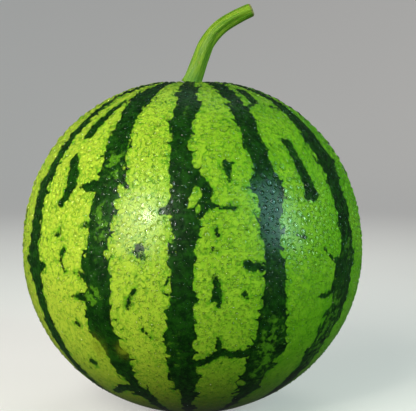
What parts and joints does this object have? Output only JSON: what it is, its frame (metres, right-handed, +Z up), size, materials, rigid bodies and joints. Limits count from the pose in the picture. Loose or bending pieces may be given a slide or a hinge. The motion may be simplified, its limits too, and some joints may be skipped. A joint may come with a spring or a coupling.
{
  "type": "watermelon",
  "caption": "Whole round watermelon with a striped rind, resting on a small flat spot, with a short bent stem rising from a shallow dimple on top.",
  "frame": {"origin": "centre of the flat spot the fruit rests on, at the bottom centre of the bounding box", "axes": "+Z up along the fruit's own axis towards the stem, +X the way the stem bends, -Y towards the viewer"},
  "size_m": [0.22, 0.22, 0.2628],
  "materials": {
    "rind": "waxy, striped light and dark green, beaded with water",
    "stem_skin": "satin, ribbed yellow-green plant skin"
  },
  "bodies": {
    "root": {"fruit": "rind", "stem": "stem_skin"}
  },
  "joints": []
}
